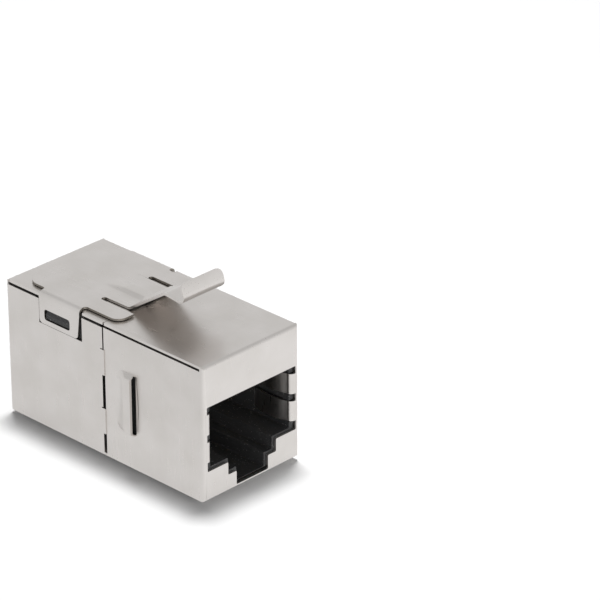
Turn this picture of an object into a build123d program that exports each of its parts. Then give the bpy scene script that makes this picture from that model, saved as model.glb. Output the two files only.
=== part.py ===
from build123d import *
import os

# An inline coupler in keystone format: a shielded modular jack on each end of a folded steel body.
# X runs across the body, Y from the front face to the rear face, Z up.
# The origin is under the middle of the body, at the lowest point of the fixed catch.

os.makedirs("parts", exist_ok=True)

# Body and sheet
body_width = 14.5
body_length = 31.0
body_height = 16.2
sheet = 0.3
inner_bend = 0.2
front_edge_gap = 0.2
rear_edge_gap = 0.26
edge_inset = 0.12
bottom_edge_gap = 0.1
fit_gap = 0.05

# Seam between the two half shells, seen from the side
seam_from_front = 15.35
seam_gap = 0.05
seam_slot = 0.45
top_seam_slot = 0.2
seam_drop = 0.25
seam_middle = 4.1
tongue_height = 3.1
tongue_root = 0.17
tongue_reach = 0.42
tongue_lift = 0.1
right_slot_height = 1.4

# Louvre on each side wall, and the fixed catch under the body
louvre_from_front = 10.43
louvre_slit = 0.18
louvre_crown = 1.1
louvre_ramp = 1.8
louvre_height = 7.5
louvre_rise = 0.7
louvre_end = 0.4
louvre_corner = 1.2
louvre_corner_share = 0.45
louvre_edge_radius = 0.25
dent_width = 0.45
dent_depth = 0.15
dent_height = 7.0
dent_lip = 0.08
catch_from_front = 8.4
catch_width = 7.0
catch_rise = 0.5

# Jack opening in each face panel, as floor heights above the body's underside
opening_width = 13.4
opening_drop = 4.85
opening_floor = 3.6
step_width = 7.27
step_floor = 2.07
key_width = 4.78
key_floor = 0.4
opening_corner = 0.15

# Shield tongues folded in from the sides of each opening
jack_width = 12.0
tongue_bend = 0.3
shield_tongue_length = 5.5
shield_tongue_drop = 0.9
shield_tongue_split = 0.9
shield_tongue_foot = 1.1
shield_tongue_lap = 0.2
tongue_clearance = 0.1

# Jack housings
moulding_lip = 0.3
plug_depth = 12.6
front_chamfer = 0.3
board_thickness = 1.0
board_margin = 0.6
board_gap = 0.1

# Contacts and their carriers
contact_count = 8
contact_pitch = 1.016
contact_width = 0.4
contact_thickness = 0.3
contact_slot = 0.5
contact_slope = 18.0
contact_nose_from_face = 2.7
contact_nose_radius = 0.45
contact_beam_length = 8.0
contact_tip_length = 1.3
contact_tip_angle = 30.0
contact_tip_radius = 0.5
pin_depth = 0.9
pin_step = 1.2
pin_jog = 1.4
pin_back_gap = 0.4
carrier_from_face = 2.0
carrier_side = 0.8
carrier_height = 3.35
slot_depth = 1.75
comb_depth = 1.2
comb_drop = 3.0

# Spring clip
clip_sheet = 0.3
clip_gap = 0.2
clip_width = 12.4
clip_front = 14.0
clip_rear = 28.95
clip_rear_corner = 2.0
ear_corner = 1.2
finger_width = 6.1
finger_slot = 0.7
finger_slot_end = 19.5

# Side tabs of the clip
tab_front = 18.9
tab_rear = 25.5
tab_reach = 3.9
tab_bend = 0.35
tab_slant = 0.35
tab_corner = 0.5
window_front = 20.3
window_rear = 24.55
window_top = 2.1
window_height = 1.28
window_corner = 0.2
notch_front_gap = 0.2
notch_gap = 0.07
lug_gap = 0.1
lug_recess = 0.15
lug_bevel = 0.15

# Finger of the clip, followed along the middle of its sheet
root_from_front = 15.78
root_radius = 0.9
rise_angle = 32.5
rise_length = 5.95
crest_radius = 1.6
dip_angle = 15.0
dip_length = 1.1
curl_radius = 0.7
curl_angle = 120.0
flare_radius = 4.0
flare_angle = 20.0
lip_corner = 0.8

# Bead that stiffens the finger's root
bead_from_front = 19.3
bead_width = 2.6
bead_height = 0.25
bead_run = 3.4

# Values worked out from the ones above
outer_bend = inner_bend + sheet
underside = catch_rise
top = underside + body_height
wall_inside = body_width / 2 - sheet
seam_height = underside + body_height / 2 - seam_drop
tongue_offset = (seam_middle + tongue_height) / 2
clip_seat = top + clip_gap
clip_top = clip_seat + clip_sheet
board_centre = body_length / 2
housing_half = wall_inside - fit_gap
housing_low = underside + sheet + fit_gap
housing_high = top - sheet - fit_gap
housing_front = sheet + fit_gap
housing_back = board_centre - board_thickness / 2 - board_gap
opening_top = body_height - opening_drop
upper_tongue_top = opening_top - shield_tongue_drop
lower_tongue_bottom = opening_floor + shield_tongue_foot
shield_tongue_height = (upper_tongue_top - lower_tongue_bottom - shield_tongue_split) / 2
shield_tongue_spans = [(lower_tongue_bottom, lower_tongue_bottom + shield_tongue_height),
                       (upper_tongue_top - shield_tongue_height, upper_tongue_top)]
cavity_top = underside + opening_top - moulding_lip
cavity_floor = underside + opening_floor + moulding_lip
carrier_low = cavity_top + fit_gap
carrier_high = carrier_low + carrier_height
carrier_half = jack_width / 2 - carrier_side
contact_places = [(i - (contact_count - 1) / 2) * contact_pitch for i in range(contact_count)]
slot_front = contact_nose_from_face - contact_nose_radius - contact_thickness / 2 - fit_gap
jog_from_face = housing_back - pin_back_gap
wire_height = carrier_low + slot_depth - contact_thickness / 2 - fit_gap
margin = 1.0


def along(from_front):
    return from_front - body_length / 2


def across(first, last):
    return (first + last) / 2, abs(last - first)


def block(x_range, y_range, z_range, mode=Mode.ADD):
    # A box between two corners, given as one range for each axis
    (x, dx), (y, dy), (z, dz) = across(*x_range), across(*y_range), across(*z_range)
    with Locations((x, y, z)):
        Box(dx, dy, dz, mode=mode)


def wall_pair(half_width, y_range, z_range, mode):
    # The same box on both sides of the body; half_width is a range of distances from the middle
    for side in (-1, 1):
        block([side * x for x in half_width], y_range, z_range, mode)


# Stepped outline of the jack, mirrored about the middle; inset shrinks it on every side
def jack_outline(width, height_top, inset):
    low = [underside + floor + inset for floor in (opening_floor, step_floor, key_floor)]
    half = [width / 2, step_width / 2 - inset, key_width / 2 - inset]
    with BuildSketch(Plane.XZ) as outline:
        with BuildLine() as right_half:
            Polyline((0, height_top), (half[0], height_top), (half[0], low[0]), (half[1], low[0]),
                     (half[1], low[1]), (half[2], low[1]), (half[2], low[2]), (0, low[2]))
            mirror(about=Plane.YZ)
        make_face()
        fillet(outline.vertices().filter_by(lambda v: abs(v.X) > margin), opening_corner)
    return outline.sketch


# One half of the steel body, folded round the front jack: face, top, bottom, sides and shield tongues
def folded_half(length, edge_gap):
    with BuildPart() as half:
        with BuildSketch(Plane.XZ.offset(body_length / 2)):
            with Locations((0, (underside + top) / 2)):
                Rectangle(body_width, body_height)
        extrude(amount=-length)
        fillet(half.faces().sort_by(Axis.Y)[0].edges(), outer_bend)
        offset(amount=-sheet, openings=half.faces().sort_by(Axis.Y)[-1])
        # The top is folded over the edges of the side walls and the bottom in between them
        # A gap runs along each long edge as far as the bend of the face
        run = (along(outer_bend), along(length + margin))
        seat = top - sheet
        wall_pair((wall_inside - fit_gap, body_width / 2 + margin), run,
                  (seat - edge_gap, seat), Mode.SUBTRACT)
        wall_pair((body_width / 2 - edge_inset, body_width / 2 + margin), run,
                  (seat - fit_gap, top + margin), Mode.SUBTRACT)
        wall_pair((wall_inside - bottom_edge_gap, wall_inside), run,
                  (underside - margin, underside + sheet + fit_gap), Mode.SUBTRACT)
        # Opening for the plug
        panel = Pos(0, along(outer_bend), 0) * jack_outline(opening_width, underside + opening_top, 0)
        extrude(panel, amount=outer_bend + margin, mode=Mode.SUBTRACT)
        # Two shield tongues on each side of the opening
        for low, high in shield_tongue_spans:
            with BuildSketch(Plane.XY.offset(underside + low)):
                with BuildLine() as sheet_middle:
                    bend_x = jack_width / 2 + sheet + tongue_bend
                    bend = Line((opening_width / 2 + shield_tongue_lap, along(sheet / 2)),
                                (bend_x, along(sheet / 2)))
                    turn = JernArc(bend @ 1, bend % 1, tongue_bend + sheet / 2, -90)
                    Line(turn @ 1, (jack_width / 2 + sheet / 2, along(shield_tongue_length)))
                trace(sheet_middle.line, sheet)
                mirror(about=Plane.YZ)
            extrude(amount=high - low)
    return half.part


# Slots left open along the seam, as boxes: the sides differ because the tongues interlock on the left only
def seam_slots():
    middle = along(seam_from_front + seam_gap / 2)
    upper, lower = seam_height + tongue_offset, seam_height - tongue_offset
    half = tongue_height / 2
    left = [(upper + half, top + margin, top_seam_slot), (lower + half, upper - half, seam_slot),
            (underside + sheet, lower - half, seam_slot)]
    right = [(upper - half, upper + half, seam_slot), (lower - half, lower + half, seam_slot),
             (underside + sheet, underside + right_slot_height, top_seam_slot)]
    for side, slots in ((-1, left), (1, right)):
        for low, high, width in slots:
            block((side * (wall_inside - fit_gap), side * (body_width / 2 + margin)),
                  (middle - width / 2, middle + width / 2), (low, high), Mode.SUBTRACT)


# A lanced louvre between its footprint on the sheet and the smaller crown above it
# In the plane, x runs along the louvre and y away from its slit, which is at the origin
def louvre(plane, rise, long, crown, ramp):
    with BuildPart() as form:
        for level, inset, deep in ((0, 0, crown + ramp), (rise, louvre_end, crown)):
            with BuildSketch(plane.offset(level)) as outline:
                with Locations((0, deep / 2)):
                    Rectangle(long - 2 * inset, deep)
                fillet(outline.vertices().group_by(Axis.Y)[-1],
                       min(louvre_corner, louvre_corner_share * deep))
        loft(ruled=True)
        if rise > louvre_edge_radius:
            crown_face = form.faces().sort_by(Axis(plane.origin, plane.z_dir))[-1]
            slit = Axis(plane.origin, plane.y_dir)
            fillet(crown_face.edges().sort_by(slit)[1:], louvre_edge_radius)
    return form.part


# Dent that the punch leaves in the wall in front of a slit: a slope that falls towards the slit
# It is the underside of a wide cylinder, so its front edge is a shallow curve
def punch_dent(side):
    start, stop = along(louvre_from_front - dent_lip - dent_width), along(louvre_from_front - dent_lip)
    slope = Vector(-side * dent_depth, dent_width, 0)
    outward = Vector(side * dent_width, dent_depth, 0).normalized()
    rise = dent_depth * dent_width / slope.length
    radius = (dent_height ** 2 / 4 + rise ** 2) / (2 * rise)
    with BuildPart() as dent:
        block((side * (body_width / 2 - sheet), side * (body_width / 2 + fit_gap)), (start, stop),
              (seam_height - dent_height / 2, seam_height + dent_height / 2))
        with BuildSketch(Plane(Vector(side * body_width / 2, start, seam_height) + outward * radius,
                               z_dir=slope)):
            Circle(radius)
        extrude(amount=body_width, both=True, mode=Mode.INTERSECT)
    return dent.part


# The front half carries a louvre on each side wall and the fixed catch underneath
with BuildPart() as front_shell:
    add(folded_half(seam_from_front, front_edge_gap))
    slit_y = along(louvre_from_front + louvre_slit)
    slit_half = louvre_height / 2 - louvre_slit
    for side in (-1, 1):
        wall = Plane((side * body_width / 2, slit_y, seam_height), x_dir=(0, 0, -side), z_dir=(side, 0, 0))
        form = louvre(wall, louvre_rise, louvre_height, louvre_crown, louvre_ramp)
        block((side * (wall_inside - fit_gap), side * (body_width / 2 + fit_gap)),
              (along(louvre_from_front), slit_y + fit_gap),
              (seam_height - slit_half, seam_height + slit_half), Mode.SUBTRACT)
        add(form)
        add(Pos(-side * sheet, 0, 0) * form, mode=Mode.SUBTRACT)
        add(punch_dent(side), mode=Mode.SUBTRACT)
    catch_slit = along(catch_from_front)
    floor = Plane((0, catch_slit, underside), x_dir=(1, 0, 0), z_dir=(0, 0, -1))
    form = louvre(floor, catch_rise, catch_width, louvre_crown, louvre_ramp)
    add(form)
    add(Pos(0, 0, sheet) * form, mode=Mode.SUBTRACT)
    # Two tongues on the left lap over the seam, a little proud of the wall
    for offset_z in (-tongue_offset, tongue_offset):
        heights = (seam_height + offset_z - tongue_height / 2, seam_height + offset_z + tongue_height / 2)
        reach = (along(seam_from_front - tongue_root), along(seam_from_front + tongue_reach))
        block((-wall_inside - tongue_lift, -body_width / 2 - tongue_lift), reach, heights)
        block((-wall_inside, -wall_inside - tongue_lift), reach, heights, Mode.SUBTRACT)
    seam_slots()


# The rear half is the same stamping mirrored, with a notch in each side wall for the clip's tabs
with BuildPart() as rear_shell:
    add(folded_half(body_length - seam_from_front - seam_gap, rear_edge_gap))
    mirror(about=Plane.XZ, mode=Mode.REPLACE)
    wall_pair((wall_inside - fit_gap, body_width / 2 + margin),
              (along(tab_front - notch_front_gap), along(tab_rear + notch_gap)),
              (clip_top - tab_reach - notch_gap, top + margin), Mode.SUBTRACT)
    # The top sheet stands further back there, clear of the bend of the tabs
    wall_pair((wall_inside - tab_bend / 2, body_width / 2 + margin),
              (along(tab_front - notch_front_gap), along(tab_rear + notch_gap)),
              (top - sheet - fit_gap, top + margin), Mode.SUBTRACT)
    for offset_z in (-tongue_offset, tongue_offset):
        block((-wall_inside + fit_gap, -body_width / 2 - margin),
              (along(seam_from_front), along(seam_from_front + tongue_reach + seam_gap)),
              (seam_height + offset_z - tongue_height / 2 - seam_gap,
               seam_height + offset_z + tongue_height / 2 + seam_gap), Mode.SUBTRACT)
    seam_slots()


# Section of the bead: a low arc on a shallow foot, or the right half of it, which turns into a domed end
def bead_section(whole):
    radius = (bead_width ** 2 / 4 + bead_height ** 2) / (2 * bead_height)
    left = -bead_width / 2 if whole else 0
    with BuildSketch() as section:
        with Locations((0, bead_height - radius)):
            Circle(radius)
        with Locations(((left + bead_width / 2) / 2, (bead_height - fit_gap) / 2)):
            Rectangle(bead_width / 2 - left, bead_height + fit_gap, mode=Mode.INTERSECT)
    return section.sketch


# Spring clip: a flat plate with two folded side tabs, and a finger that rises to a crest and curls into a lip
with BuildPart() as spring_clip:
    with BuildSketch(Plane.XY.offset(clip_seat)) as plate:
        with Locations((0, along((clip_front + clip_rear) / 2))):
            Rectangle(clip_width, clip_rear - clip_front)
        fillet(plate.vertices().group_by(Axis.Y)[0], ear_corner)
        fillet(plate.vertices().group_by(Axis.Y)[-1], clip_rear_corner)
        tab_edge = body_width / 2 - tab_bend - clip_sheet
        with Locations((0, along((tab_front + tab_rear) / 2))):
            Rectangle(2 * tab_edge, tab_rear - tab_front)
        fillet(plate.vertices().filter_by(lambda v: abs(abs(v.X) - clip_width / 2) < fit_gap
                                          and along(tab_front) - fit_gap < v.Y < along(tab_rear) + fit_gap),
               tab_edge - clip_width / 2 - fit_gap)
        slot_x = (finger_width + finger_slot) / 2
        for side in (-1, 1):
            with Locations((side * slot_x, along((clip_front + finger_slot_end) / 2 - margin))):
                Rectangle(finger_slot, finger_slot_end - clip_front + 2 * margin, mode=Mode.SUBTRACT)
        with Locations((0, along(clip_front))):
            Rectangle(finger_width + finger_slot, 2 * (root_from_front - clip_front), mode=Mode.SUBTRACT)
    extrude(amount=clip_sheet)
    # Side tabs, as a folded strip with a window
    with BuildSketch(Plane.XZ.offset(-along(tab_front))) as tabs:
        with BuildLine() as fold:
            level = clip_seat + clip_sheet / 2
            flat = Line((tab_edge - margin, level), (tab_edge, level))
            turn = JernArc(flat @ 1, flat % 1, tab_bend + clip_sheet / 2, -90)
            Line(turn @ 1, ((turn @ 1).X, clip_top - tab_reach))
        trace(fold.line, clip_sheet)
        mirror(about=Plane.YZ)
    extrude(amount=-(tab_rear - tab_front))
    window_z = (clip_top - window_top - window_height, clip_top - window_top)
    with BuildSketch(Plane.YZ) as window:
        with Locations((along((window_front + window_rear) / 2), sum(window_z) / 2)):
            RectangleRounded(window_rear - window_front, window_height, window_corner)
    extrude(amount=body_width, both=True, mode=Mode.SUBTRACT)
    # The front edge of each tab slants back on its way down
    with BuildSketch(Plane.YZ):
        with BuildLine():
            slant_start = (along(tab_front), window_z[1] + window_top / 2)
            Polyline((along(tab_front) - margin, slant_start[1]), slant_start,
                     (along(tab_front + tab_slant), clip_top - tab_reach),
                     (along(tab_front) - margin, clip_top - tab_reach), close=True)
        make_face()
    extrude(amount=body_width, both=True, mode=Mode.SUBTRACT)
    fillet(spring_clip.edges().filter_by(Axis.X).group_by(Axis.Z)[0], tab_corner)
    # Finger, traced along the middle of the sheet
    with BuildSketch(Plane.YZ) as profile:
        with BuildLine() as path:
            flat = Line((along(root_from_front + margin), clip_seat + clip_sheet / 2),
                        (along(root_from_front), clip_seat + clip_sheet / 2))
            root = JernArc(flat @ 1, flat % 1, root_radius, -rise_angle)
            rise = Line(root @ 1, root @ 1 + (root % 1) * rise_length)
            crest = JernArc(rise @ 1, rise % 1, crest_radius, rise_angle + dip_angle)
            dip = Line(crest @ 1, crest @ 1 + (crest % 1) * dip_length)
            curl = JernArc(dip @ 1, dip % 1, curl_radius, -curl_angle)
            flare = JernArc(curl @ 1, curl % 1, flare_radius, -flare_angle)
        trace(path.line, clip_sheet)
    extrude(amount=finger_width / 2, both=True)
    # Bead that runs from the plate up the finger, raised on top and hollow underneath
    with BuildLine(Plane.YZ) as ridge:
        foot = Line((along(bead_from_front), clip_top), (along(root_from_front), clip_top))
        bend = JernArc(foot @ 1, foot % 1, root_radius - clip_sheet / 2, -rise_angle)
        climb = Line(bend @ 1, bend @ 1 + (bend % 1) * bead_run)
    ends = [Plane(line @ place, x_dir=(1, 0, 0), z_dir=line % place)
            for line, place in ((foot, 0), (climb, 1))]
    for drop, mode in ((0, Mode.ADD), (clip_sheet, Mode.SUBTRACT)):
        sweep(ends[0] * Pos(0, -drop, 0) * bead_section(whole=True), path=ridge.line, mode=mode)
        for end in ends:
            half_section = end * Pos(0, -drop, 0) * bead_section(whole=False)
            revolve(half_section, axis=Axis(end.origin, end.y_dir), mode=mode)
    lip_end = Vector(0, (flare @ 1).X, (flare @ 1).Y)
    lip_edge = spring_clip.faces().sort_by(lambda f: (f.center() - lip_end).length)[0]
    fillet(lip_edge.edges().filter_by(Axis.X, reverse=True), lip_corner)


# Moulded housing of the front jack: stepped cavity, pockets for the tongues and the carrier, comb at the back
def jack_housing():
    with BuildPart() as housing:
        block((-housing_half, housing_half), (along(housing_front), along(housing_back)),
              (housing_low, housing_high))
        chamfer(housing.faces().sort_by(Axis.Y)[0].edges(), front_chamfer)
        cavity = Pos(0, along(plug_depth), 0) * jack_outline(jack_width, cavity_top, moulding_lip)
        extrude(cavity, amount=plug_depth, mode=Mode.SUBTRACT)
        # Comb on the back wall that guides the contact tips
        block((-carrier_half, carrier_half), (along(plug_depth - comb_depth), along(plug_depth + fit_gap)),
              (cavity_top - comb_drop, cavity_top))
        # Pocket for the carrier, open to the back
        block((-carrier_half - fit_gap, carrier_half + fit_gap),
              (along(carrier_from_face - fit_gap), along(housing_back + margin)),
              (cavity_top, carrier_high + fit_gap), Mode.SUBTRACT)
        for x in contact_places:
            block((x - contact_slot / 2, x + contact_slot / 2),
                  (along(plug_depth - comb_depth - margin), along(plug_depth - fit_gap)),
                  (cavity_top - comb_drop + sheet, cavity_top + fit_gap), Mode.SUBTRACT)
        # Pockets that the shield tongues lie in, wider at the mouth for their bend
        for low, high in shield_tongue_spans:
            heights = (underside + low - tongue_clearance, underside + high + tongue_clearance)
            wall_pair((jack_width / 2 - margin, jack_width / 2 + sheet + tongue_clearance),
                      (along(0), along(shield_tongue_length + tongue_clearance)), heights, Mode.SUBTRACT)
            wall_pair((jack_width / 2, opening_width / 2),
                      (along(0), along(sheet + tongue_bend + tongue_clearance)), heights, Mode.SUBTRACT)
    return housing.part


# Carrier: a block with a slot for each contact, deeper at the back where every second pin is raised
def contact_carrier():
    with BuildPart() as carrier:
        block((-carrier_half, carrier_half), (along(carrier_from_face), along(housing_back)),
              (carrier_low, carrier_high))
        for x in contact_places:
            slot = (x - contact_slot / 2, x + contact_slot / 2)
            block(slot, (along(slot_front), along(housing_back + margin)),
                  (carrier_low - margin, carrier_low + slot_depth), Mode.SUBTRACT)
            block(slot, (along(jog_from_face - pin_jog), along(housing_back + margin)),
                  (carrier_low, carrier_low + slot_depth + pin_step), Mode.SUBTRACT)
    return carrier.part


# One spring contact: pin in the board, run over the carrier, nose, sloping beam and upturned tip
def spring_contact(raised):
    height = wire_height + (pin_step if raised else 0)
    with BuildPart() as contact:
        with BuildSketch(Plane.YZ):
            with BuildLine() as wire:
                pin_end = (along(board_centre - board_thickness / 2 + pin_depth), height)
                nose_top = (along(contact_nose_from_face), wire_height)
                if raised:
                    FilletPolyline(pin_end, (along(jog_from_face), height),
                                   (along(jog_from_face - pin_step), wire_height), nose_top,
                                   radius=contact_thickness)
                else:
                    Line(pin_end, nose_top)
                nose = JernArc(nose_top, (-1, 0), contact_nose_radius, 180 - contact_slope)
                beam = Line(nose @ 1, nose @ 1 + (nose % 1) * contact_beam_length)
                bend = JernArc(beam @ 1, beam % 1, contact_tip_radius, contact_tip_angle)
                Line(bend @ 1, bend @ 1 + (bend % 1) * contact_tip_length)
            trace(wire.line, contact_thickness)
        extrude(amount=contact_width / 2, both=True)
    return contact.part


with BuildPart() as front_housing:
    add(jack_housing())

with BuildPart() as rear_housing:
    add(jack_housing())
    mirror(about=Plane.XZ, mode=Mode.REPLACE)
    # Snap lugs that stand in the windows of the clip's tabs, bevelled so that the tabs slide over them
    lug_low, lug_high = window_z[0] + lug_gap, window_z[1] - lug_gap
    lug_face = body_width / 2 - lug_recess
    with BuildSketch(Plane.XZ.offset(-along(window_front + lug_gap))):
        with BuildLine():
            Polyline((housing_half - margin, lug_low), (lug_face, lug_low),
                     (lug_face, (lug_low + lug_high) / 2), (lug_face - lug_bevel, lug_high),
                     (housing_half - margin, lug_high), close=True)
        make_face()
        mirror(about=Plane.YZ)
    extrude(amount=-(window_rear - window_front - 2 * lug_gap))

with BuildPart() as front_carrier:
    add(contact_carrier())

with BuildPart() as rear_carrier:
    add(contact_carrier())
    mirror(about=Plane.XZ, mode=Mode.REPLACE)

# Board across the middle, with a hole for each pin; the rear row's pins stand between the front row's
with BuildPart() as circuit_board:
    board_half = housing_half - board_margin
    block((-board_half, board_half), (-board_thickness / 2, board_thickness / 2),
          (housing_low + board_margin, housing_high - board_margin))
    for x in contact_places:
        for z in (wire_height, wire_height + pin_step):
            block((x - contact_slot / 2, x + contact_slot / 2), (-board_thickness, board_thickness),
                  (z - contact_thickness / 2 - fit_gap, z + contact_thickness / 2 + fit_gap), Mode.SUBTRACT)

contacts = []
for end, turn in (("front", 0), ("rear", 180)):
    for i, x in enumerate(contact_places):
        with BuildPart() as contact:
            add(Rot(0, 0, turn) * Pos(x, 0, 0) * spring_contact(raised=i % 2 == 1))
        contacts.append((f"{end}_contact_{i + 1}", contact))

pieces = [("front_shell", front_shell), ("rear_shell", rear_shell), ("spring_clip", spring_clip),
          ("front_housing", front_housing), ("rear_housing", rear_housing),
          ("front_carrier", front_carrier), ("rear_carrier", rear_carrier),
          ("circuit_board", circuit_board)] + contacts
for name, piece in pieces:
    piece.part.label = name
    export_step(piece.part, f"parts/{name}.step")
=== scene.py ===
import math
import bmesh
import bpy
import numpy as np
from mathutils import Matrix, Vector


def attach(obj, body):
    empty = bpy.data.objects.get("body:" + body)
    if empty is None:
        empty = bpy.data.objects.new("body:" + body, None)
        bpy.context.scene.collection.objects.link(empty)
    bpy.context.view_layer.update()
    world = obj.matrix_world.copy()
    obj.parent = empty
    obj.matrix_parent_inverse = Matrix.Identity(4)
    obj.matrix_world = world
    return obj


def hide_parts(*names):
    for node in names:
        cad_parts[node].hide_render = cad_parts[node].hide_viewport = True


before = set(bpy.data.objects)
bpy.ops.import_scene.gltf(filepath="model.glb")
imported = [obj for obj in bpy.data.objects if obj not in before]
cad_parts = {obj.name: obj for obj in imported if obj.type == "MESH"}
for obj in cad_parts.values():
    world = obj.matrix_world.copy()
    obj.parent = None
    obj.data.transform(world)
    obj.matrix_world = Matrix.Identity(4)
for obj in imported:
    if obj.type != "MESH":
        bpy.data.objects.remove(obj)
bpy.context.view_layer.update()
mm = 0.001
bodyHalf = 15.5                                      # mm from the middle of the body to either face
print("frame loaded:", len(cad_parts), "nodes")

# Materials


def linear(hexColour):  # sRGB hex to the linear values that a shader socket takes
    channels = [int(hexColour[i:i + 2], 16) / 255 for i in (1, 3, 5)]
    return [c / 12.92 if c <= 0.04045 else ((c + 0.055) / 1.055) ** 2.4 for c in channels] + [1.0]


def addNode(tree, kind, settings=None, inputs=None):
    # One node with its settings; inputs holds links or values by the socket's name or place
    node = tree.nodes.new(kind)
    for name, value in (settings or {}).items():
        setattr(node, name, value)
    for name, value in (inputs or {}).items():
        socket = node.inputs[name]
        if isinstance(value, bpy.types.NodeSocket):
            tree.links.new(value, socket)
        else:
            socket.default_value = value
    return node


def newMaterial(name):  # an empty material with its tree, shader and the surface's own coordinates
    material = bpy.data.materials.new(name)
    material.use_nodes = True
    tree = material.node_tree
    tree.nodes.clear()
    shader = addNode(tree, "ShaderNodeBsdfPrincipled")
    addNode(tree, "ShaderNodeOutputMaterial", inputs={"Surface": shader.outputs["BSDF"]})
    coords = addNode(tree, "ShaderNodeTexCoord").outputs["Object"]
    return material, tree, shader, coords


def colourRamp(tree, factor, stops):  # a ramp from a list of (place, hex colour)
    ramp = addNode(tree, "ShaderNodeValToRGB", inputs={"Fac": factor})
    elements = ramp.color_ramp.elements
    for element, (place, colour) in zip(elements, stops):
        element.position = place
        element.color = linear(colour)
    return ramp.outputs["Color"]


# Nickel-plated sheet steel: a warm pale metal with a satin shine, fine rolling grain and faint clouds of tone
def nickelPlatedSteel(name, grainAxis, base="#dedad7", shade="#d7d3cf", roughness=(0.27, 0.34)):
    material, tree, shader, coords = newMaterial(name)
    grainWidth, cloudWidth = 0.18 * mm, 3.5 * mm     # coarser than real grain, so that it shows
    # Grain lines are twenty times longer than wide. They run along grainAxis on the walls, which reach
    # wallHalf to either side of wallMiddle, and from front to rear on the top and bottom.
    wallMiddle, wallHalf = 8.6 * mm, 7.95 * mm
    onWalls, onFlats = [1.0, 1.0, 1.0], [1.0, 0.05, 1.0]
    onWalls[grainAxis] = 0.05
    height = addNode(tree, "ShaderNodeSeparateXYZ", inputs={"Vector": coords}).outputs["Z"]
    isWall = addNode(tree, "ShaderNodeMath", {"operation": "COMPARE"},
                     {0: height, 1: wallMiddle, 2: wallHalf})
    flatLines, wallLines = (addNode(tree, "ShaderNodeMapping", inputs={"Vector": coords, "Scale": stretch})
                            for stretch in (onFlats, onWalls))
    lines = addNode(tree, "ShaderNodeMix", {"data_type": "VECTOR"},
                    {"Factor": isWall.outputs["Value"], "A": flatLines.outputs["Vector"],
                     "B": wallLines.outputs["Vector"]}).outputs["Result"]
    grain = addNode(tree, "ShaderNodeTexNoise",
                    inputs={"Vector": lines, "Scale": 1 / grainWidth, "Detail": 4.0}).outputs["Fac"]
    cloud = addNode(tree, "ShaderNodeTexNoise",
                    inputs={"Vector": coords, "Scale": 1 / cloudWidth, "Detail": 3.0}).outputs["Fac"]
    tree.links.new(colourRamp(tree, cloud, [(0.3, shade), (0.7, base)]), shader.inputs["Base Color"])
    rough = addNode(tree, "ShaderNodeMapRange", inputs={"Value": grain, "From Min": 0.3, "From Max": 0.7,
                                                        "To Min": roughness[0], "To Max": roughness[1]})
    tree.links.new(rough.outputs["Result"], shader.inputs["Roughness"])
    bump = addNode(tree, "ShaderNodeBump", inputs={"Height": grain, "Strength": 0.05, "Distance": 0.01 * mm})
    tree.links.new(bump.outputs["Normal"], shader.inputs["Normal"])
    shader.inputs["Metallic"].default_value = 1.0
    return material


# Moulded black PBT: a satin dark grey, with a fine moulding grit and a few light grey specks scattered at
# random
def blackPbt(name, roughness=0.5):
    material, tree, shader, coords = newMaterial(name)
    gritWidth, speckWidth = 0.12 * mm, 0.16 * mm     # coarser than real grit, so that it shows
    grit = addNode(tree, "ShaderNodeTexNoise",
                   inputs={"Vector": coords, "Scale": 1 / gritWidth, "Detail": 3.0}).outputs["Fac"]
    speckNoise = addNode(tree, "ShaderNodeTexNoise",
                   inputs={"Vector": coords, "Scale": 1 / speckWidth, "Detail": 0.0}).outputs["Fac"]
    specks = addNode(tree, "ShaderNodeMix", {"data_type": "RGBA"},
                     {"Factor": colourRamp(tree, speckNoise, [(0.775, "#000000"), (0.80, "#ffffff")]),
                      "A": colourRamp(tree, grit, [(0.35, "#3b3b3c"), (0.75, "#494949")]),
                      "B": linear("#9a9a98")})
    tree.links.new(specks.outputs["Result"], shader.inputs["Base Color"])
    bump = addNode(tree, "ShaderNodeBump", inputs={"Height": grit, "Strength": 0.15, "Distance": 0.02 * mm})
    tree.links.new(bump.outputs["Normal"], shader.inputs["Normal"])
    shader.inputs["Specular IOR Level"].default_value = 0.3
    shader.inputs["Roughness"].default_value = roughness
    shader.inputs["IOR"].default_value = 1.53
    return material


# Gold-plated phosphor bronze: a warm yellow metal with a bright shine and slow changes of tone
def goldPlatedBronze():
    material, tree, shader, coords = newMaterial("goldPlatedBronze")
    cloudWidth = 0.8 * mm
    cloud = addNode(tree, "ShaderNodeTexNoise",
                    inputs={"Vector": coords, "Scale": 1 / cloudWidth, "Detail": 2.0}).outputs["Fac"]
    tree.links.new(colourRamp(tree, cloud, [(0.3, "#d9b45f"), (0.7, "#e9c878")]), shader.inputs["Base Color"])
    shader.inputs["Metallic"].default_value = 1.0
    shader.inputs["Roughness"].default_value = 0.22
    return material


# FR4 laminate: a dark green solder mask over glass weave, whose threads show as faint bands
def fr4Laminate():
    material, tree, shader, coords = newMaterial("fr4Laminate")
    # The bands stand a tenth of pi times waveRun apart, about 1 mm, because real threads are too fine to show
    waveRun = 3.1 * mm
    weave = addNode(tree, "ShaderNodeTexWave", {"bands_direction": "X"},
                    {"Vector": coords, "Scale": 1 / waveRun, "Distortion": 1.0}).outputs["Fac"]
    tree.links.new(colourRamp(tree, weave, [(0.0, "#0e3a26"), (1.0, "#15482f")]), shader.inputs["Base Color"])
    shader.inputs["Roughness"].default_value = 0.35
    return material


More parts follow.
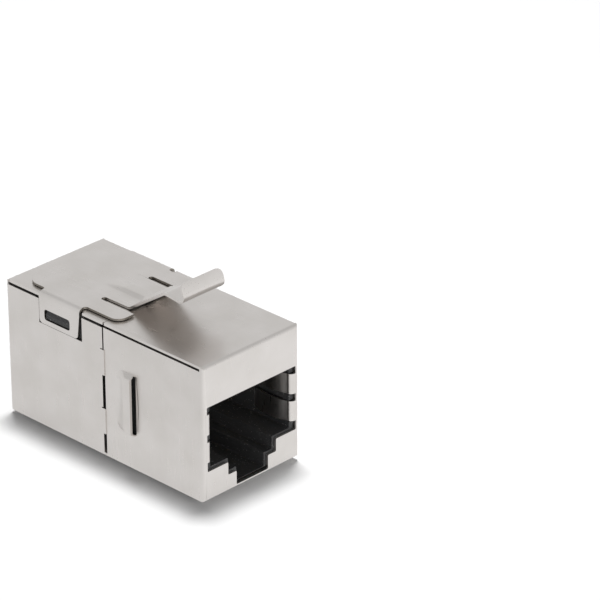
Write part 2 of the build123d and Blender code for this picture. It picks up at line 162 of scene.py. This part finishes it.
steelShell = nickelPlatedSteel("nickelPlatedShell", 2)
steelClip = nickelPlatedSteel("nickelPlatedClip", 0)
# Cut edges: a rougher finish whose darker colour is painted shade, the dark line seen along the plate's and
# tabs' edges
cutEdgeWithPaintedShade = nickelPlatedSteel("cutEdgeWithPaintedShade", 2, base="#a09b94", shade="#8c8780", roughness=(0.35, 0.5))
housingBlack = blackPbt("mouldedBlackPbt")
carrierBlack = blackPbt("mouldedCarrierPbt", roughness=0.45)
gold = goldPlatedBronze()
laminate = fr4Laminate()

# Pieces

sheetMerge, cadMerge = 0.004, 0.0005                 # mm; points closer than this are one
sharpTurn = 22                                       # degrees; edges that turn more than this show as creases


def closeForm(form, mesh):  # writes a form to its mesh, shaded smooth between its creases
    form.to_mesh(mesh)
    form.free()
    mesh.shade_smooth()
    mesh.set_sharp_from_angle(angle=math.radians(sharpTurn))
    return mesh


def standFor(name, mesh, node, material):
    # Hands a mesh over as the piece that stands for a CAD node
    mesh.materials.clear()
    mesh.materials.append(material)
    piece = bpy.data.objects.new(name, mesh)
    bpy.context.scene.collection.objects.link(piece)
    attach(piece, "root")
    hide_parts(node)
    return piece


def breakEdges(piece, width, segments, angle):
    # Rounds the cut edges, and lets large flat faces keep their own direction
    bevel = piece.modifiers.new("brokenEdges", "BEVEL")
    bevel.width = width * mm
    bevel.segments = segments
    bevel.limit_method = "ANGLE"
    bevel.angle_limit = math.radians(angle)
    bevel.harden_normals = True
    even = piece.modifiers.new("evenFaces", "WEIGHTED_NORMAL")
    even.weight = 100
    even.keep_sharp = True


def sheetMesh(name, parts):
    # Joins the middle surfaces of a sheet's parts, each an array of points (n, 3) in mm with a list of faces
    points = np.vstack([p for p, _ in parts])
    faces, start = [], 0
    for p, partFaces in parts:
        faces += [[start + i for i in face] for face in partFaces]
        start += len(p)
    mesh = bpy.data.meshes.new(name)
    mesh.from_pydata((points * mm).tolist(), [], faces)
    form = bmesh.new()
    form.from_mesh(mesh)
    bmesh.ops.remove_doubles(form, verts=form.verts, dist=sheetMerge * mm)
    bmesh.ops.recalc_face_normals(form, faces=form.faces)
    return closeForm(form, mesh)


def gridFaces(rows, columns):  # the quads of a grid whose points are stored row by row
    corner = (np.arange(rows - 1)[:, None] * columns + np.arange(columns - 1)).ravel()
    return np.column_stack([corner, corner + 1, corner + columns + 1, corner + columns]).tolist()


def arc(centre, radius, fromAngle, toAngle, steps):  # points on a circle in a plane, angles in degrees
    t = np.radians(np.linspace(fromAngle, toAngle, steps + 1))
    return np.column_stack([centre[0] + radius * np.cos(t), centre[1] + radius * np.sin(t)])


def softStep(t):  # 0 below 0, 1 above 1, and a soft S between
    t = np.clip(t, 0, 1)
    return t * t * (3 - 2 * t)


# Spring clip: one sheet, in mm and degrees, with places along it as distances from the front face
clip = {
    "thickness": 0.26, "middle": 16.91,              # the height of the middle of the plate's sheet
    "halfWidth": 6.2, "front": 14.0, "rear": 28.95, "earRadius": 1.2, "rearRadius": 2.0,
    "tabFront": 19.1, "tabRear": 25.55, "tabRootX": 6.6, "tabFillet": 0.35,
    "bendRadius": 0.5, "tabLow": 13.25, "tabCorner": 0.5,
    "tabSlant": 0.35, "tabSlantTop": 16.15,          # a tab's front edge leans back below this height
    "windowFront": 20.68, "windowRear": 24.73, "windowLow": 13.82, "windowHigh": 15.1, "windowCorner": 0.3,
    "slotEnd": 19.0, "slotWidth": 0.65,
    "gridStart": 21.6, "gridStep": 0.16,             # where the finger's own surface starts, and its steps
    "fingerHalf": 3.2, "lipHalf": 3.05, "taperFrom": 2.0, "taperRun": 8.0, "lipCorner": 0.8,
    "rootAt": 15.78, "rootRadius": 0.9, "rise": 33.4, "riseLength": 6.06,
    "crestRadius": 0.7, "dip": 6.0, "dipLength": 1.86, "curlRadius": 0.7, "curl": 111.0,
    "flareRadius": 4.0, "flare": 20.0,
    "beadFrom": 20.5, "beadLength": 9.75, "beadHeight": 0.33,
    "beadTop": 0.5, "beadShoulder": 0.6, "beadEnd": 1.3,     # half of its flat top, its flank and its ends
    "edgeBreak": 0.09,
}


def fingerLine():
    # The finger's side view: runs and arcs joined tangentially, as distance from the front face and height.
    # Each run keeps its heading, and each arc turns the heading at a steady rate along its length.
    c = clip
    runs = [(c["slotEnd"] - c["rootAt"], 0),                 # each is a length and the turn along it
            (math.radians(c["rise"]) * c["rootRadius"], c["rise"]),
            (c["riseLength"], 0),
            (math.radians(c["rise"] + c["dip"]) * c["crestRadius"], -(c["rise"] + c["dip"])),
            (c["dipLength"], 0),
            (math.radians(c["curl"]) * c["curlRadius"], c["curl"]),
            (math.radians(c["flare"]) * c["flareRadius"], c["flare"])]
    lengths, turns = [c["gridStart"] - c["slotEnd"]], [0.0]  # the first step reaches the ends of the slots
    for length, turn in runs:
        count = max(2, math.ceil(length / c["gridStep"]), int(abs(turn) / 6))    # 6 degrees a step at most
        lengths += [length / count] * count
        turns += [math.radians(turn) / count] * count
    lengths, turns = np.array(lengths), np.array(turns)
    heading = np.cumsum(turns) - turns / 2
    along = c["gridStart"] - np.concatenate([[0], np.cumsum(lengths * np.cos(heading))])
    height = c["middle"] + np.concatenate([[0], np.cumsum(lengths * np.sin(heading))])
    travelled = np.concatenate([[0], np.cumsum(lengths)])
    turned = np.concatenate([[0], np.cumsum(turns)])
    return along, height, travelled, turned


def fingerPart():
    # Surface over the way travelled and the width: the side view, moved along its normal by the bead,
    # whose height is a soft shoulder across times a soft ramp at each end.
    # The half width narrows evenly, and the lip's corners take off what a circle leaves.
    c = clip
    along, height, travelled, turned = fingerLine()
    narrowing = np.clip((travelled - c["taperFrom"]) / c["taperRun"], 0, 1)
    half = c["fingerHalf"] + (c["lipHalf"] - c["fingerHalf"]) * narrowing
    intoCorner = np.clip(c["lipCorner"] - (travelled[-1] - travelled), 0, None)
    half -= c["lipCorner"] - np.sqrt(np.clip(c["lipCorner"] ** 2 - intoCorner ** 2, 0, None))
    across = np.concatenate([[-1, -0.985], np.linspace(-0.95, 0.95, 43), [0.985, 1]])    # closer at the edges
    x = half[:, None] * across[None, :]
    beadStart = c["gridStart"] - c["beadFrom"]
    beadStop = beadStart + c["beadLength"]
    ramp = softStep((travelled - beadStart) / c["beadEnd"]) * softStep((beadStop - travelled) / c["beadEnd"])
    shoulder = softStep((c["beadTop"] + c["beadShoulder"] - np.abs(x)) / c["beadShoulder"])
    lift = c["beadHeight"] * ramp[:, None] * shoulder
    y = along[:, None] + lift * np.sin(turned)[:, None] - bodyHalf
    z = height[:, None] + lift * np.cos(turned)[:, None]
    return np.stack([x, y, z], axis=-1)


def platePart(fingerRoot):
    # The flat plate as one outline: the finger's root, then each side's slot, ear, tab and rear corner
    c = clip
    slotMiddle, slotRadius = c["fingerHalf"] + c["slotWidth"] / 2, c["slotWidth"] / 2
    f, tabX = c["tabFillet"], c["tabRootX"]
    rightSide = np.vstack([
        arc((slotMiddle, c["slotEnd"]), slotRadius, 180, 0, 8),
        [[slotMiddle + slotRadius, c["front"]]],
        arc((c["halfWidth"] - c["earRadius"], c["front"] + c["earRadius"]), c["earRadius"], -90, 0, 8),
        arc((c["halfWidth"] + f, c["tabFront"] - f), f, 180, 90, 5),
        [[tabX, c["tabFront"]], [tabX, c["tabRear"]]],
        arc((c["halfWidth"] + f, c["tabRear"] + f), f, -90, -180, 5),
        arc((c["halfWidth"] - c["rearRadius"], c["rear"] - c["rearRadius"]), c["rearRadius"], 0, 90, 12)])
    leftSide = rightSide[::-1] * [-1, 1]
    outline = np.vstack([fingerRoot[-1:], rightSide, leftSide, fingerRoot[:-1]])
    plate = np.column_stack([outline[:, 0], outline[:, 1] - bodyHalf, np.full(len(outline), c["middle"])])
    return plate, [list(range(len(plate)))]


def slantFront(height):  # the front edge of a tab, which leans back evenly below the slant's top
    c = clip
    share = (c["tabSlantTop"] - height) / (c["tabSlantTop"] - c["tabLow"])
    return c["tabFront"] + c["tabSlant"] * np.clip(share, 0, 1)


def tabParts():
    # Each side tab is a quarter bend down from the plate and a flat flap. The flap is outlined as distance
    # from the front face and height, in a lower and an upper half that meet level with the window's middle.
    c = clip
    turn = np.radians(np.linspace(0, 90, 9))
    bend = np.column_stack([c["tabRootX"] + c["bendRadius"] * np.sin(turn),
                            c["middle"] - c["bendRadius"] * (1 - np.cos(turn))])
    flapX, flapTop = bend[-1]
    r, w = c["tabCorner"], c["windowCorner"]
    front, rear, low, high = c["windowFront"], c["windowRear"], c["windowLow"], c["windowHigh"]
    middle = (low + high) / 2
    lower = np.vstack([
        [[slantFront(middle), middle]],
        arc((slantFront(c["tabLow"] + r) + r, c["tabLow"] + r), r, 180, 270, 5),
        arc((c["tabRear"] - r, c["tabLow"] + r), r, 270, 360, 5),
        [[c["tabRear"], middle], [rear, middle]],
        arc((rear - w, low + w), w, 0, -90, 4),
        arc((front + w, low + w), w, 270, 180, 4),
        [[front, middle]]])
    upper = np.vstack([
        [[c["tabRear"], middle], [c["tabRear"], flapTop], [c["tabFront"], flapTop],
         [c["tabFront"], c["tabSlantTop"]], [slantFront(middle), middle], [front, middle]],
        arc((front + w, high - w), w, 180, 90, 4),
        arc((rear - w, high - w), w, 90, 0, 4),
        [[rear, middle]]])
    parts = []
    for side in (-1, 1):
        strip = [[side * x, y - bodyHalf, z] for x, z in bend for y in (c["tabFront"], c["tabRear"])]
        parts.append((np.array(strip), gridFaces(len(bend), 2)))
        for flap in (lower, upper):
            points = np.column_stack([np.full(len(flap), side * flapX), flap[:, 0] - bodyHalf, flap[:, 1]])
            parts.append((points, [list(range(len(points)))]))
    return parts


def makeClip():
    finger = fingerPart()
    fingerFaces = gridFaces(*finger.shape[:2])
    fingerRoot = finger[0, :, :2] + [0, bodyHalf]
    parts = [(finger.reshape(-1, 3), fingerFaces), platePart(fingerRoot)] + tabParts()
    mesh = sheetMesh("springClipForm", parts)
    piece = standFor("springClip", mesh, "spring_clip", steelClip)
    # A cut edge takes the slot after its face's: on the plate and tabs a darker colour that paints the shade
    # along their edges, and on the finger the same bright finish
    for material in (cutEdgeWithPaintedShade, steelClip, steelClip):
        mesh.materials.append(material)
    slots = np.zeros(len(mesh.polygons), np.int32)
    slots[:len(fingerFaces)] = 2
    mesh.polygons.foreach_set("material_index", slots)
    wall = piece.modifiers.new("sheetThickness", "SOLIDIFY")
    wall.thickness = clip["thickness"] * mm
    wall.offset = 0
    wall.use_even_offset = True
    wall.material_offset_rim = 1
    breakEdges(piece, clip["edgeBreak"], 3, 60)
    print("clip made:", len(mesh.polygons), "faces")


makeClip()

# Shield tongues: the part of each shell's sheet that lies in this box, in mm
tongues = {
    "inner": 5.95, "outer": 6.36, "low": 5.1, "high": 11.1,  # from the middle, and from the floor
    "start": 0.6, "end": 5.5,                        # behind the face
    "steps": 12, "bow": 0.55,                        # how many short steps it bows in, and how far
}


def bowTongues(form):
    # Bows the four shield tongues of a shell into the opening, as springs that touch the plug's sides.
    # Each moves inwards by a sine arch along its depth, after it is cut into short steps.
    t = tongues
    nearMargin, farMargin = 0.02, 0.1                # mm, for points that lie on the box's ends
    clearOfBend = 0.5                                # mm; a face with no point deeper than this isn't cut

    def depth(v):                                    # mm behind the nearer face
        return bodyHalf - abs(v.co.y) / mm

    def isTongue(v):
        return (t["inner"] < abs(v.co.x) / mm < t["outer"] and t["low"] < v.co.z / mm < t["high"]
                and t["start"] - nearMargin < depth(v) < t["end"] + farMargin)

    side = 1 if sum(v.co.y for v in form.verts) > 0 else -1
    for step in np.linspace(t["start"], t["end"], t["steps"] + 1)[1:-1]:
        faces = [f for f in form.faces
                 if any(isTongue(v) and depth(v) > t["start"] + clearOfBend for v in f.verts)]
        edges, verts = {e for f in faces for e in f.edges}, {v for f in faces for v in f.verts}
        bmesh.ops.bisect_plane(form, geom=list(edges) + list(verts) + faces, dist=1e-8,
                               plane_co=(0, side * (bodyHalf - step) * mm, 0), plane_no=(0, 1, 0))
    for v in form.verts:
        if isTongue(v):
            arch = math.sin(math.pi * (depth(v) - t["start"]) / (t["end"] - t["start"]))
            v.co.x -= math.copysign(max(arch, 0) * t["bow"] * mm, v.co.x)


# Snap lugs: the part of a housing further out than this, moved back to stand in the clip's windows, in mm
lugs = {"out": 6.95, "middle": 22.68, "frontShift": 0.36, "rearShift": 0.18}


def shiftLugs(form):
    # Moves the half of a lug before its middle back by frontShift, and the rest by rearShift
    for v in form.verts:
        if abs(v.co.x) > lugs["out"] * mm:
            inFront = v.co.y < (lugs["middle"] - bodyHalf) * mm
            v.co.y += (lugs["frontShift"] if inFront else lugs["rearShift"]) * mm


def mergedCopy(node, reshape):
    # A copy of a CAD node's mesh with its loose triangles joined and flat areas made whole, then reshaped
    form = bmesh.new()
    form.from_mesh(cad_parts[node].data)
    bmesh.ops.remove_doubles(form, verts=form.verts, dist=cadMerge * mm)
    bmesh.ops.dissolve_limit(form, angle_limit=math.radians(0.5), verts=form.verts, edges=form.edges)
    reshape(form)
    return closeForm(form, bpy.data.meshes.new(node + "Form"))


formed = {                                           # reshaping, slot, finish, broken edges' width in mm
    "shell": (bowTongues, "shell_steel", steelShell, 0.03),
    "housing": (shiftLugs, "housing_plastic", housingBlack, 0.06),
}
for part, (reshape, slotName, material, edgeBreak) in formed.items():
    for end in ("front", "rear"):
        node = end + "_" + part
        piece = standFor(end + part.capitalize(), mergedCopy(node, reshape), node, material)
        breakEdges(piece, edgeBreak, 2, 40)
print("shells and housings made")

finishes = {"_carrier": carrierBlack, "_contact_": gold, "circuit_board": laminate}
for node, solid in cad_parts.items():           # the other solids keep their mesh and take a finish
    for word, material in finishes.items():
        if word in node:
            for slot in solid.material_slots:
                slot.material = material
print("materials given")

# Studio: a pale floor, a white surround, two soft lamps and the camera

studio = {
    "floorHalf": 1500,                               # mm
    "floorColour": "#f6f6f6",
    "cameraLift": 0.06,                              # light that only the camera sees on the floor
    "glossNear": 1.0, "glossFar": 0.84,              # the floor's level for the metal, in front and left
    "glossBand": 15.0,                               # mm to either side of the middle, where the two blend
    "glossShadow": 0.1,                              # how much of the floor's own shading the metal sees
    "skyWalls": 0.20, "skyCeiling": 0.05,            # the surround's level low down all round, and overhead
    "glossWalls": 0.81, "glossCeiling": 0.62,        # the same as the metal sees them
    "wallFade": 0.45, "wallTop": 0.80,               # sines of the angles up between which they fade
    "aim": (0, 0, 8),                                # mm; the lamps face the middle of the body
}
lamps = {                                            # place and size in mm, watts, if the metal shows it
    "overheadBox": ((54, 40, 395), (100, 80), 1.52, False),
    "frontBox": ((-110, -480, 135), (700, 250), 0.9, True),
}
camera = {                                           # in degrees and mm
    "azimuth": 45.677, "elevation": 26.652, "roll": -0.152,
    "corner": (-7.25, -15.5, 0.5),                   # the body's near bottom corner
    "offset": (-10.192, 21.748, 407.0),              # how far right of, below and ahead of the lens it lies
    "sensor": 36.0, "lens": 228.6,
}


def cameraSees(tree, path):  # 1 for a ray that the camera sees, straight or through glass
    return addNode(tree, "ShaderNodeMath", {"operation": "MAXIMUM"},
                   {0: path["Is Camera Ray"], 1: path["Is Transmission Ray"]}).outputs["Value"]


def metalSees(tree, path):
    # 1 for a gloss ray that hasn't met a pale surface, so that what only the metal sees stays off the floor
    first = addNode(tree, "ShaderNodeMath", {"operation": "LESS_THAN"}, {0: path["Diffuse Depth"], 1: 0.5})
    return addNode(tree, "ShaderNodeMath", {"operation": "MULTIPLY"},
                   {0: path["Is Glossy Ray"], 1: first.outputs["Value"]}).outputs["Value"]


def makeFloor():
    mesh = bpy.data.meshes.new("studioFloor")
    half = studio["floorHalf"] * mm
    corners = [(-half, -half, 0), (half, -half, 0), (half, half, 0), (-half, half, 0)]
    mesh.from_pydata(corners, [], [(0, 1, 2, 3)])
    floor = bpy.data.objects.new("studioFloor", mesh)
    bpy.context.scene.collection.objects.link(floor)
    material, tree, shader, coords = newMaterial("palePaper")
    path = addNode(tree, "ShaderNodeLightPath").outputs
    # Seen by gloss rays the floor is mostly a plain glow, and the camera sees its shading with a little lift.
    # The glow's level changes along the diagonal that runs from the rear left to the front right.
    diagonal = addNode(tree, "ShaderNodeVectorMath", {"operation": "DOT_PRODUCT"},
                       {0: coords, 1: (0.7 / mm, -0.7 / mm, 0)}).outputs["Value"]
    band = studio["glossBand"]
    level = addNode(tree, "ShaderNodeMapRange",
                    inputs={"Value": diagonal, "From Min": -band, "From Max": band,
                            "To Min": studio["glossFar"], "To Max": studio["glossNear"]})
    share = addNode(tree, "ShaderNodeMath", {"operation": "MULTIPLY"},
                    {0: metalSees(tree, path), 1: 1 - studio["glossShadow"]}).outputs["Value"]
    glow = addNode(tree, "ShaderNodeMath", {"operation": "MULTIPLY"}, {0: share, 1: level.outputs["Result"]})
    lift = addNode(tree, "ShaderNodeMath", {"operation": "MULTIPLY_ADD"},
                   {0: cameraSees(tree, path), 1: studio["cameraLift"], 2: glow.outputs["Value"]})
    paper = addNode(tree, "ShaderNodeMix", {"data_type": "RGBA"},
                    {"Factor": share, "A": linear(studio["floorColour"]), "B": linear("#000000")})
    tree.links.new(paper.outputs["Result"], shader.inputs["Base Color"])
    tree.links.new(lift.outputs["Value"], shader.inputs["Emission Strength"])
    shader.inputs["Emission Color"].default_value = linear("#ffffff")
    shader.inputs["Roughness"].default_value = 1.0
    shader.inputs["Specular IOR Level"].default_value = 0.0
    mesh.materials.append(material)


def makeSurround():
    # Pale walls all round and a dimmer ceiling, so the metal mirrors an even grey, and white for the camera.
    # Each level fades from the walls to the ceiling by a soft S over the height of the view direction.
    world = bpy.data.worlds.new("studioSurround")
    bpy.context.scene.world = world
    world.use_nodes = True
    tree = world.node_tree
    background = tree.nodes["Background"]
    heading = addNode(tree, "ShaderNodeTexCoord").outputs["Generated"]
    height = addNode(tree, "ShaderNodeSeparateXYZ", inputs={"Vector": heading}).outputs["Z"]
    fade = {"Value": height, "From Min": studio["wallFade"], "From Max": studio["wallTop"]}
    level, glossLevel = (
        addNode(tree, "ShaderNodeMapRange", {"interpolation_type": "SMOOTHSTEP"},
                {**fade, "To Min": studio[walls], "To Max": studio[ceiling]}).outputs["Result"]
        for walls, ceiling in (("skyWalls", "skyCeiling"), ("glossWalls", "glossCeiling")))
    path = addNode(tree, "ShaderNodeLightPath").outputs
    gloss = addNode(tree, "ShaderNodeMath", {"operation": "MULTIPLY"},
                    {0: metalSees(tree, path), 1: glossLevel})
    plain = addNode(tree, "ShaderNodeMath", {"operation": "MAXIMUM"}, {0: level, 1: cameraSees(tree, path)})
    shown = addNode(tree, "ShaderNodeMath", {"operation": "MAXIMUM"},
                    {0: gloss.outputs["Value"], 1: plain.outputs["Value"]})
    tree.links.new(shown.outputs["Value"], background.inputs["Strength"])
    background.inputs["Color"].default_value = linear("#ffffff")


def makeLamp(name, place, size, power, mirrored):  # a soft box that faces the body
    lamp = bpy.data.lights.new(name, "AREA")
    lamp.shape = "RECTANGLE"
    lamp.size, lamp.size_y = size[0] * mm, size[1] * mm
    lamp.energy = power
    holder = bpy.data.objects.new(name, lamp)
    holder.location = Vector(place) * mm
    holder.rotation_euler = (Vector(studio["aim"]) - Vector(place)).to_track_quat("-Z", "Y").to_euler()
    holder.visible_glossy = mirrored
    bpy.context.scene.collection.objects.link(holder)


def makeCamera():
    # The view direction follows from the angles, and the place from where the body's corner lies in the
    # camera's own axes, which are turned by the roll
    a, e, r = (math.radians(camera[name]) for name in ("azimuth", "elevation", "roll"))
    ahead = Vector((math.sin(a) * math.cos(e), math.cos(a) * math.cos(e), -math.sin(e)))
    level = Vector((math.cos(a), -math.sin(a), 0))
    plumb = ahead.cross(level)
    right = level * math.cos(r) - plumb * math.sin(r)
    down = level * math.sin(r) + plumb * math.cos(r)
    axes = Matrix((right, down, ahead)).transposed()
    place = Vector(camera["corner"]) - axes @ Vector(camera["offset"])
    data = bpy.data.cameras.new("photoCamera")
    data.sensor_width, data.lens = camera["sensor"], camera["lens"]
    data.clip_start, data.clip_end = 0.01, 10
    holder = bpy.data.objects.new("photoCamera", data)
    turn = Matrix((right, -down, -ahead)).transposed().to_4x4()
    holder.matrix_world = Matrix.Translation(place * mm) @ turn
    bpy.context.scene.collection.objects.link(holder)
    bpy.context.scene.camera = holder


makeFloor()
makeSurround()
makeCamera()
for name, values in lamps.items():
    makeLamp(name, *values)
bpy.context.scene.view_settings.view_transform = "Standard"
print("studio made")
